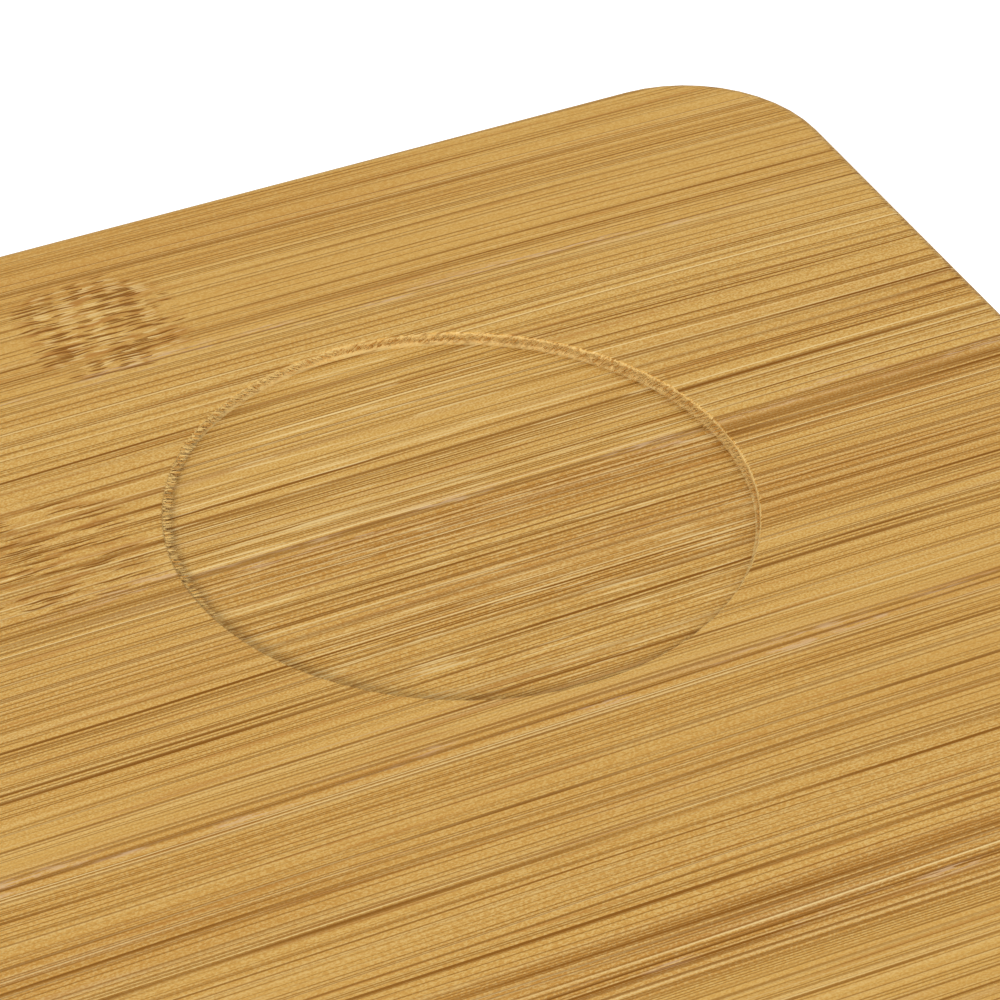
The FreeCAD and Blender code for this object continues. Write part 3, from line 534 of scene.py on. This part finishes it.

# %% [markdown]
# ## Torn fibres round the charging spot
# A router bit shears wood along the grain cleanly, but where it crosses the grain it leaves the
# ends of the fibres standing. Round this spot they make a fuzzy ring. A bump map can't break up an
# outline, so these are real slivers: closed needles with three sides that start in the wall and
# point along the grain into the recess. The bit tore the back of the wall most. At the front the
# slivers are short and thin, and they are painted browner: painted shade that deepens the shadow
# inside the near rim. A seeded random generator places them, so each run gives the same ones.

# %% Torn fibres: one sliver
def sliver(mesh, root, direction, length, thickness, droop):
    """Adds a closed three-sided needle: a root ring, a middle ring and a tip."""
    side = direction.cross(Vector((0, 0, 1))).normalized()
    up = direction.cross(side).normalized()
    rings = []
    for share, width in ((0.0, 1.0), (0.62, 0.8)):
        centre = root + direction * (length * share) - Vector((0, 0, droop * share * share))
        ring = []
        for corner in range(3):
            angle = math.tau * corner / 3
            offset = (side * math.cos(angle) + up * math.sin(angle)) * (thickness * width / 2)
            ring.append(mesh.verts.new(centre + offset))
        rings.append(ring)
    tip = mesh.verts.new(root + direction * length - Vector((0, 0, droop)))
    mesh.faces.new(list(reversed(rings[0])))
    for corner in range(3):
        after = (corner + 1) % 3
        mesh.faces.new((rings[0][corner], rings[0][after], rings[1][after], rings[1][corner]))
        mesh.faces.new((rings[1][corner], rings[1][after], tip))

# %% Torn fibres: all the way round
SPOT_DEPTH = top - spot.z
ROOT_BURIED = 0.04 * MM
FIBRE_COUNT = 3000
chance = random.Random(20)


def torn_fibres(name):
    mesh = bmesh.new()
    for number in range(FIBRE_COUNT):
        angle = math.tau * (number + chance.random()) / FIBRE_COUNT
        outward = Vector((math.cos(angle), math.sin(angle), 0))
        along_grain = Vector((-math.copysign(1.0, outward.x), 0, 0))
        across_grain = abs(outward.x)
        torn = min(1.0, max(0.0, (outward.y + 0.6) / 0.6))
        depth = SPOT_DEPTH * (0.13 + 0.30 * (1.0 - torn) + 0.50 * chance.random())
        length = 0.22 + 0.65 * chance.random() ** 1.6 * (0.35 + 0.65 * across_grain)
        length *= (0.3 + 0.7 * torn) * MM
        direction = along_grain - outward * (0.25 + 0.5 * chance.random())
        direction.z = chance.uniform(-0.25, 0.02)
        thickness = chance.uniform(0.08, 0.17) * (0.5 + 0.5 * torn) * MM
        root = Vector((spot.x, spot.y, top - depth)) + outward * (SPOT_RADIUS * MM + ROOT_BURIED)
        sliver(mesh, root, direction.normalized(), length, thickness, chance.uniform(0.0, 0.05) * MM)
    data = bpy.data.meshes.new(name)
    mesh.to_mesh(data)
    mesh.free()
    piece = bpy.data.objects.new(name, data)
    bpy.context.scene.collection.objects.link(piece)
    print(name, len(data.polygons), "faces")
    return piece

# %% Torn fibres: their colour
FIBRE_DARK = (0.47, 0.29, 0.088)
FIBRE_LIGHT = (0.62, 0.42, 0.15)


def raw_fibre():
    """Torn bamboo, each sliver its own tone, with a few darker ones. Painted shade: more amber towards the
    front, where the near rim's shadow falls.
    """
    r = Recipe("raw_fibre")
    own = r.tree.nodes.new("ShaderNodeNewGeometry").outputs["Random Per Island"]
    x, y, z = r.place()
    tone = r.noise(r.join(r.times(x, 1.5), r.times(y, 9.0), r.times(z, 9.0)), 1.0)
    colour = r.mix(own, FIBRE_DARK, FIBRE_LIGHT)
    colour = r.mix(r.fade(own, 0.36, 0.14, 0.0, 0.75), colour, AMBER)
    # Painted shade: the slivers turn more amber towards the front, to deepen the shadow inside the near rim.
    front_painted_shade = r.fade(y, spot.y / MM - 2.0, spot.y / MM - 12.0, 0.0, 0.55)
    colour = r.mix(front_painted_shade, colour, AMBER)
    colour = r.mix(r.fade(tone, 0.5, 0.7, 0.0, 0.5), colour, HONEY)
    r.bump(tone, 0.01 * MM, 0.4)
    return r.finish(colour, r.add(0.6, r.times(tone, 0.2)), Specular_IOR_Level=0.15)


spot_rim_fibres = torn_fibres("spot_rim_fibres")
spot_rim_fibres.data.materials.append(raw_fibre())
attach(spot_rim_fibres, "root")

# %% [markdown]
# ## Moulded and cast pieces
# Rubber, plastic, ferrite and ceramic all come out of a mould or a kiln, and what the eye reads is
# the mould's own grain: coarse and matt on rubber, fine and even where the steel was spark-eroded,
# almost smooth on epoxy. One recipe covers them. It takes two close colours, the size of the grain
# and how deep it is, and it lets the gloss drift a little over the surface, because no part that
# has been handled is evenly matt.

# %% Moulded surfaces
def moulded(name, dark, light, grain, depth, roughness, **fixed):
    """An even fine grain from the mould, under slight broad shading from handling. Lengths in millimetres."""
    r = Recipe(name)
    place = r.place()
    fine = r.even_noise(place, 1 / grain, 3.0, 0.6)
    broad = r.even_noise(place, 1 / 9, 2.0)
    tone = r.add(r.fade(fine, 0.35, 0.65, 0.0, 0.6), r.fade(broad, 0.35, 0.65, 0.0, 0.4))
    r.bump(fine, depth * MM, 0.7)
    return r.finish(r.mix(tone, dark, light), r.add(roughness, r.fade(broad, 0.3, 0.7, -0.08, 0.08)), **fixed)

# %% [markdown]
# ### Feet, cover and inlet surround
# The four feet are discs of soft black rubber held by a thin film of clear glue. The cover under
# the coil and the surround of the power inlet are black ABS. The rubber is duller and a little
# browner than the plastic, and dust sticks to it.

# %% Rubber and glue
def dusty_rubber():
    r = Recipe("foot_rubber")
    place = r.place()
    fine = r.even_noise(place, 4.0, 3.0, 0.65)
    dust = r.even_noise(place, 0.6, 4.0, 0.7)
    colour = r.mix(r.fade(fine, 0.35, 0.65), (0.018, 0.017, 0.016), (0.035, 0.033, 0.031))
    colour = r.mix(r.fade(dust, 0.55, 0.75, 0.0, 0.35), colour, (0.16, 0.15, 0.135))
    r.bump(r.add(fine, r.times(dust, 0.5)), 0.05 * MM, 0.7)
    return r.finish(colour, r.fade(dust, 0.4, 0.7, 0.72, 0.9), Specular_IOR_Level=0.3)


wear(dusty_rubber(), "foot_front_left", "foot_front_right", "foot_back_left", "foot_back_right")
wear(moulded("foot_glue", (0.62, 0.60, 0.52), (0.74, 0.72, 0.64), 0.8, 0.01, 0.25), "foot_adhesives")

# %% Black plastic
wear(moulded("cover_plastic", (0.016, 0.016, 0.017), (0.030, 0.030, 0.032), 0.16, 0.03, 0.52), "base_cover")
wear(moulded("bezel_plastic", (0.013, 0.013, 0.014), (0.024, 0.024, 0.025), 0.09, 0.015, 0.42), "port_bezel")
wear(moulded("tray_plastic", (0.55, 0.54, 0.51), (0.66, 0.65, 0.62), 0.22, 0.02, 0.45), "coil_tray")

# %% [markdown]
# ### Metal
# Plating follows the metal under it, so drawn steel keeps faint lines from the die and a turned
# screw keeps rings. On metal those lines show in the gloss far more than in the colour, so the
# streaks drive the roughness.

# %% Plated metal
def plated(name, deep, bright, roughness, length, width):
    """Streaks from drawing or turning, and small worn specks. Lengths in millimetres."""
    r = Recipe(name)
    place = x, y, z = r.place()
    streak = r.noise(r.join(r.times(x, 1 / length), r.times(y, 1 / width), r.times(z, 1 / width)), 3.0, 0.6)
    speck = r.even_noise(place, 3.5, 4.0, 0.7)
    colour = r.mix(r.fade(streak, 0.35, 0.65), deep, bright)
    colour = r.mix(r.fade(speck, 0.62, 0.74, 0.0, 0.5), colour, bright)
    r.bump(streak, 0.008 * MM, 0.5)
    gloss = r.add(r.fade(streak, 0.3, 0.7, -0.07, 0.07), r.fade(speck, 0.5, 0.7, 0.0, 0.08))
    return r.finish(colour, r.add(roughness, gloss), Metallic=1.0)


wear(plated("screw_steel", (0.09, 0.09, 0.10), (0.19, 0.19, 0.20), 0.38, 0.6, 0.12), "cover_screws")
wear(plated("circuit_screw_steel", (0.52, 0.52, 0.50), (0.70, 0.70, 0.68), 0.28, 0.6, 0.12), "circuit_screws")
wear(plated("inlet_steel", (0.56, 0.54, 0.50), (0.74, 0.72, 0.67), 0.24, 2.5, 0.08), "usb_shell")
wear(plated("contact_gold", (0.72, 0.47, 0.16), (0.92, 0.66, 0.27), 0.20, 1.2, 0.05), "usb_contacts")
wear(plated("solder", (0.50, 0.50, 0.49), (0.68, 0.68, 0.66), 0.30, 0.4, 0.3), "solder_joints")
wear(moulded("inlet_insulator", (0.012, 0.012, 0.012), (0.020, 0.020, 0.021), 0.1, 0.01, 0.36),
     "usb_housing", "usb_tongue")

# %% [markdown]
# ## The circuit
# None of this shows while the pad is whole, but it does once the part is opened, cut or taken
# apart. The board is glass and epoxy under green varnish: tracks are copper below the varnish, so
# they only make it a little paler and raise it, and the sawn edges are bare straw-coloured
# laminate.

# %% Circuit board
def varnished_laminate():
    r = Recipe("circuit_laminate")
    place = x, y, z = r.place()
    _, _, up = r.facing()
    area = r.add(r.math("FLOOR", r.times(x, 1 / 6.5)), r.times(r.math("FLOOR", r.times(y, 1 / 5.5)), 17.0))
    turn, thin, _ = r.lot(area)
    sideways = r.math("GREATER_THAN", turn, 0.5)
    line = r.math("FRACT", r.times(r.add(r.times(x, sideways), r.times(y, r.invert(sideways))), 1 / 0.9))
    track = r.times(r.fade(line, 0.30, 0.36), r.fade(line, 0.70, 0.64), r.math("LESS_THAN", thin, 0.75))
    weave = r.even_noise(place, 5.0)
    green = r.mix(r.times(track, 0.7), (0.010, 0.085, 0.032), (0.030, 0.17, 0.060))
    green = r.mix(r.fade(weave, 0.4, 0.7, 0.0, 0.3), green, (0.016, 0.11, 0.05))
    colour = r.mix(r.math("GREATER_THAN", r.math("ABSOLUTE", up), 0.5), (0.45, 0.38, 0.20), green)
    r.bump(r.add(track, r.times(weave, 0.2)), 0.03 * MM, 0.6)
    return r.finish(colour, r.fade(weave, 0.3, 0.7, 0.26, 0.40), Coat_Weight=0.3)


wear(varnished_laminate(), "circuit_board")

# %% Parts on the circuit
def two_faced(name, crown, crown_light, side, side_light, roughness):
    """One finish on faces that look up or down, such as a glazed top, and another on the sides."""
    r = Recipe(name)
    _, _, up = r.facing()
    fine = r.even_noise(r.place(), 9.0, 3.0, 0.6)
    flat = r.fade(r.math("ABSOLUTE", up), 0.6, 0.8)
    r.bump(fine, 0.01 * MM, 0.5)
    tone = r.fade(fine, 0.35, 0.65)
    return r.finish(r.mix(flat, r.mix(tone, side, side_light), r.mix(tone, crown, crown_light)),
                    r.add(roughness, r.times(r.add(fine, -0.5), 0.3)))


wear(moulded("chip_epoxy", (0.014, 0.014, 0.015), (0.032, 0.032, 0.034), 0.12, 0.02, 0.48),
     "controller_chip", "bridge_transistors")
wear(two_faced("inductor_body", (0.085, 0.085, 0.090), (0.13, 0.13, 0.135), (0.060, 0.060, 0.064),
               (0.095, 0.095, 0.10), 0.62), "buck_inductor")
wear(two_faced("capacitor_body", (0.36, 0.24, 0.14), (0.46, 0.33, 0.21), (0.60, 0.57, 0.53),
               (0.72, 0.70, 0.66), 0.42), "resonant_capacitors", "filter_capacitors")
wear(two_faced("resistor_body", (0.016, 0.016, 0.018), (0.030, 0.030, 0.033), (0.58, 0.57, 0.55),
               (0.72, 0.71, 0.69), 0.34), "chip_resistors")
wear(moulded("gap_filler", (0.34, 0.42, 0.50), (0.44, 0.52, 0.60), 0.35, 0.03, 0.7), "thermal_pad")

# %% [markdown]
# ### Clear parts
# The status lamp shines into a short acrylic rod that carries its light to the back edge. Acrylic
# needs a high transmission and its own index of refraction, which are set straight on the shader.
# The lamp's epoxy is milky, so only part of the light goes through.

# %% Clear parts
def clear(name, tint, deeper, transmission, ior, roughness):
    r = Recipe(name)
    haze = r.even_noise(r.place(), 2.5, 3.0, 0.6)
    r.bump(haze, 0.01 * MM, 0.3)
    return r.finish(r.mix(haze, tint, deeper), r.fade(haze, 0.35, 0.65, roughness, roughness + 0.08),
                    Transmission_Weight=transmission, IOR=ior)


wear(clear("clear_acrylic", (0.90, 0.93, 0.93), (0.84, 0.88, 0.89), 0.9, 1.49, 0.06), "light_pipe")
wear(clear("led_epoxy", (0.82, 0.82, 0.74), (0.74, 0.72, 0.60), 0.4, 1.52, 0.20), "status_led")
wear(clear("sensor_glass", (0.60, 0.34, 0.10), (0.45, 0.22, 0.05), 0.5, 1.51, 0.10), "thermistor")

# %% [markdown]
# ## The coil
# The transmitting coil is litz: many enamelled strands twisted into a rope, so that high-frequency
# current uses all of the copper. The twist runs round and round the coil, so the pattern is laid
# out along the arc around the coil's middle, not along x or y. Behind it, black ferrite sheet keeps
# the field out of the electronics, between two layers of amber polyimide tape.

# %% Litz copper
def litz_copper():
    r = Recipe("litz_copper")
    place = x, y, z = r.place()
    dx, dy, radius = from_spot(r, x, y)
    arc = r.times(r.math("ARCTAN2", dy, dx), radius)
    twist = r.add(r.times(arc, 1 / 1.9), r.times(radius, 3.2), r.times(z, 2.4))
    strand = r.math("SINE", r.times(twist, math.tau))
    rubbed = r.even_noise(place, 1.1, 3.0, 0.6)
    colour = r.mix(r.fade(strand, -0.9, 0.7), (0.34, 0.11, 0.035), (0.80, 0.36, 0.16))
    colour = r.mix(r.fade(rubbed, 0.5, 0.7, 0.0, 0.4), colour, (0.88, 0.48, 0.26))
    r.bump(strand, 0.05 * MM, 0.8)
    return r.finish(colour, r.fade(rubbed, 0.3, 0.7, 0.26, 0.42), Metallic=0.85, Coat_Weight=0.5)


wear(litz_copper(), "charging_coil", "coil_leads")

# %% Ferrite, tape, foam and wires
def cracked_ferrite():
    """Ferrite sheet is cracked on purpose so that it bends: fine lines part it into little flakes."""
    r = Recipe("ferrite")
    x, y, z = r.place()
    near, own = r.cells(r.join(r.times(x, 1 / 1.3), r.times(y, 1 / 1.3), r.times(z, 1 / 1.3)))
    crack = r.fade(near, 0.52, 0.72)
    colour = r.mix(own, (0.045, 0.045, 0.049), (0.085, 0.085, 0.090))
    colour = r.mix(crack, colour, (0.022, 0.022, 0.024))
    r.bump(r.times(crack, -1.0), 0.02 * MM, 0.6)
    return r.finish(colour, r.fade(own, 0.0, 1.0, 0.50, 0.68))


def open_foam():
    r = Recipe("foam")
    x, y, z = r.place()
    near, own = r.cells(r.join(r.times(x, 2.8), r.times(y, 2.8), r.times(z, 2.8)))
    r.bump(near, 0.12 * MM, 0.9)
    colour = r.mix(r.fade(near, 0.1, 0.6), (0.055, 0.055, 0.058), (0.13, 0.13, 0.135))
    return r.finish(colour, r.fade(own, 0.0, 1.0, 0.85, 0.97), Specular_IOR_Level=0.15)


wear(cracked_ferrite(), "ferrite_shield")
wear(open_foam(), "tray_foam_pads")
wear(moulded("coil_tape", (0.50, 0.22, 0.030), (0.62, 0.30, 0.050), 1.6, 0.02, 0.20, Coat_Weight=0.4),
     "coil_tape_lower", "coil_tape_upper")
wear(moulded("wire_jacket", (0.42, 0.020, 0.016), (0.52, 0.032, 0.025), 0.5, 0.01, 0.40), "sensor_wires")

# %% [markdown]
# ## Floor and light
# The pad lies on a plain white floor under soft studio light. The main lamp is a panel at the front
# left, low enough to leave a thin shadow inside the near rim of the charging spot and to light the
# fibres on its far wall. White surroundings fill in the rest.
#
# The floor and the surroundings look bright to the camera but shine less on the pad. Otherwise a
# white floor would light the pad's sides from below more than any real studio does. The Light Path
# node tells the two apart.

# %% Bright to look at, dimmer as a light
def seen_or_not(tree, when_seen, otherwise):
    """One number for what the camera sees directly, and another for light that falls on the pad."""
    path = tree.nodes.new("ShaderNodeLightPath")
    choice = tree.nodes.new("ShaderNodeMapRange")
    choice.inputs["To Min"].default_value = otherwise
    choice.inputs["To Max"].default_value = when_seen
    tree.links.new(path.outputs["Is Camera Ray"], choice.inputs["Value"])
    return choice.outputs[0]

# %% Floor
FLOOR_HALF = 20.0
FLOOR_SEEN, FLOOR_SHED = 0.60, 0.0
floor_mesh = bpy.data.meshes.new("floor")
floor_corners = [(-FLOOR_HALF, -FLOOR_HALF, 0), (FLOOR_HALF, -FLOOR_HALF, 0),
                 (FLOOR_HALF, FLOOR_HALF, 0), (-FLOOR_HALF, FLOOR_HALF, 0)]
floor_mesh.from_pydata(floor_corners, [], [(0, 1, 2, 3)])
floor = bpy.data.objects.new("floor", floor_mesh)
bpy.context.scene.collection.objects.link(floor)
white = Recipe("white_floor")
white.finish((0.92, 0.92, 0.92), 0.9, Emission_Color=(1, 1, 1, 1))
white.feed(white.shader.inputs["Emission Strength"], seen_or_not(white.tree, FLOOR_SEEN, FLOOR_SHED))
floor_mesh.materials.append(white.material)

# %% Lights
def softbox(name, place, size, power):
    """A square panel of light that faces the charging spot."""
    data = bpy.data.lights.new(name, "AREA")
    data.size = size
    data.energy = power
    lamp = bpy.data.objects.new(name, data)
    bpy.context.scene.collection.objects.link(lamp)
    lamp.location = place
    lamp.rotation_euler = (Vector(place) - Vector((spot.x, spot.y, 0))).to_track_quat("Z", "Y").to_euler()
    return lamp


softbox("main_panel", (-0.97, -1.15, 0.74), 0.42, 22.5)
softbox("fill_panel", (1.2, -0.9, 1.6), 1.6, 6.0)

# %% Surroundings
SURROUNDINGS_SEEN, SURROUNDINGS_SHED = 1.0, 0.74
world = bpy.data.worlds.new("studio")
world.use_nodes = True
sky = world.node_tree.nodes["Background"]
sky.inputs["Color"].default_value = (1, 1, 1, 1)
strength = seen_or_not(world.node_tree, SURROUNDINGS_SEEN, SURROUNDINGS_SHED)
world.node_tree.links.new(strength, sky.inputs["Strength"])
bpy.context.scene.world = world
bpy.context.scene.view_settings.view_transform = "Standard"
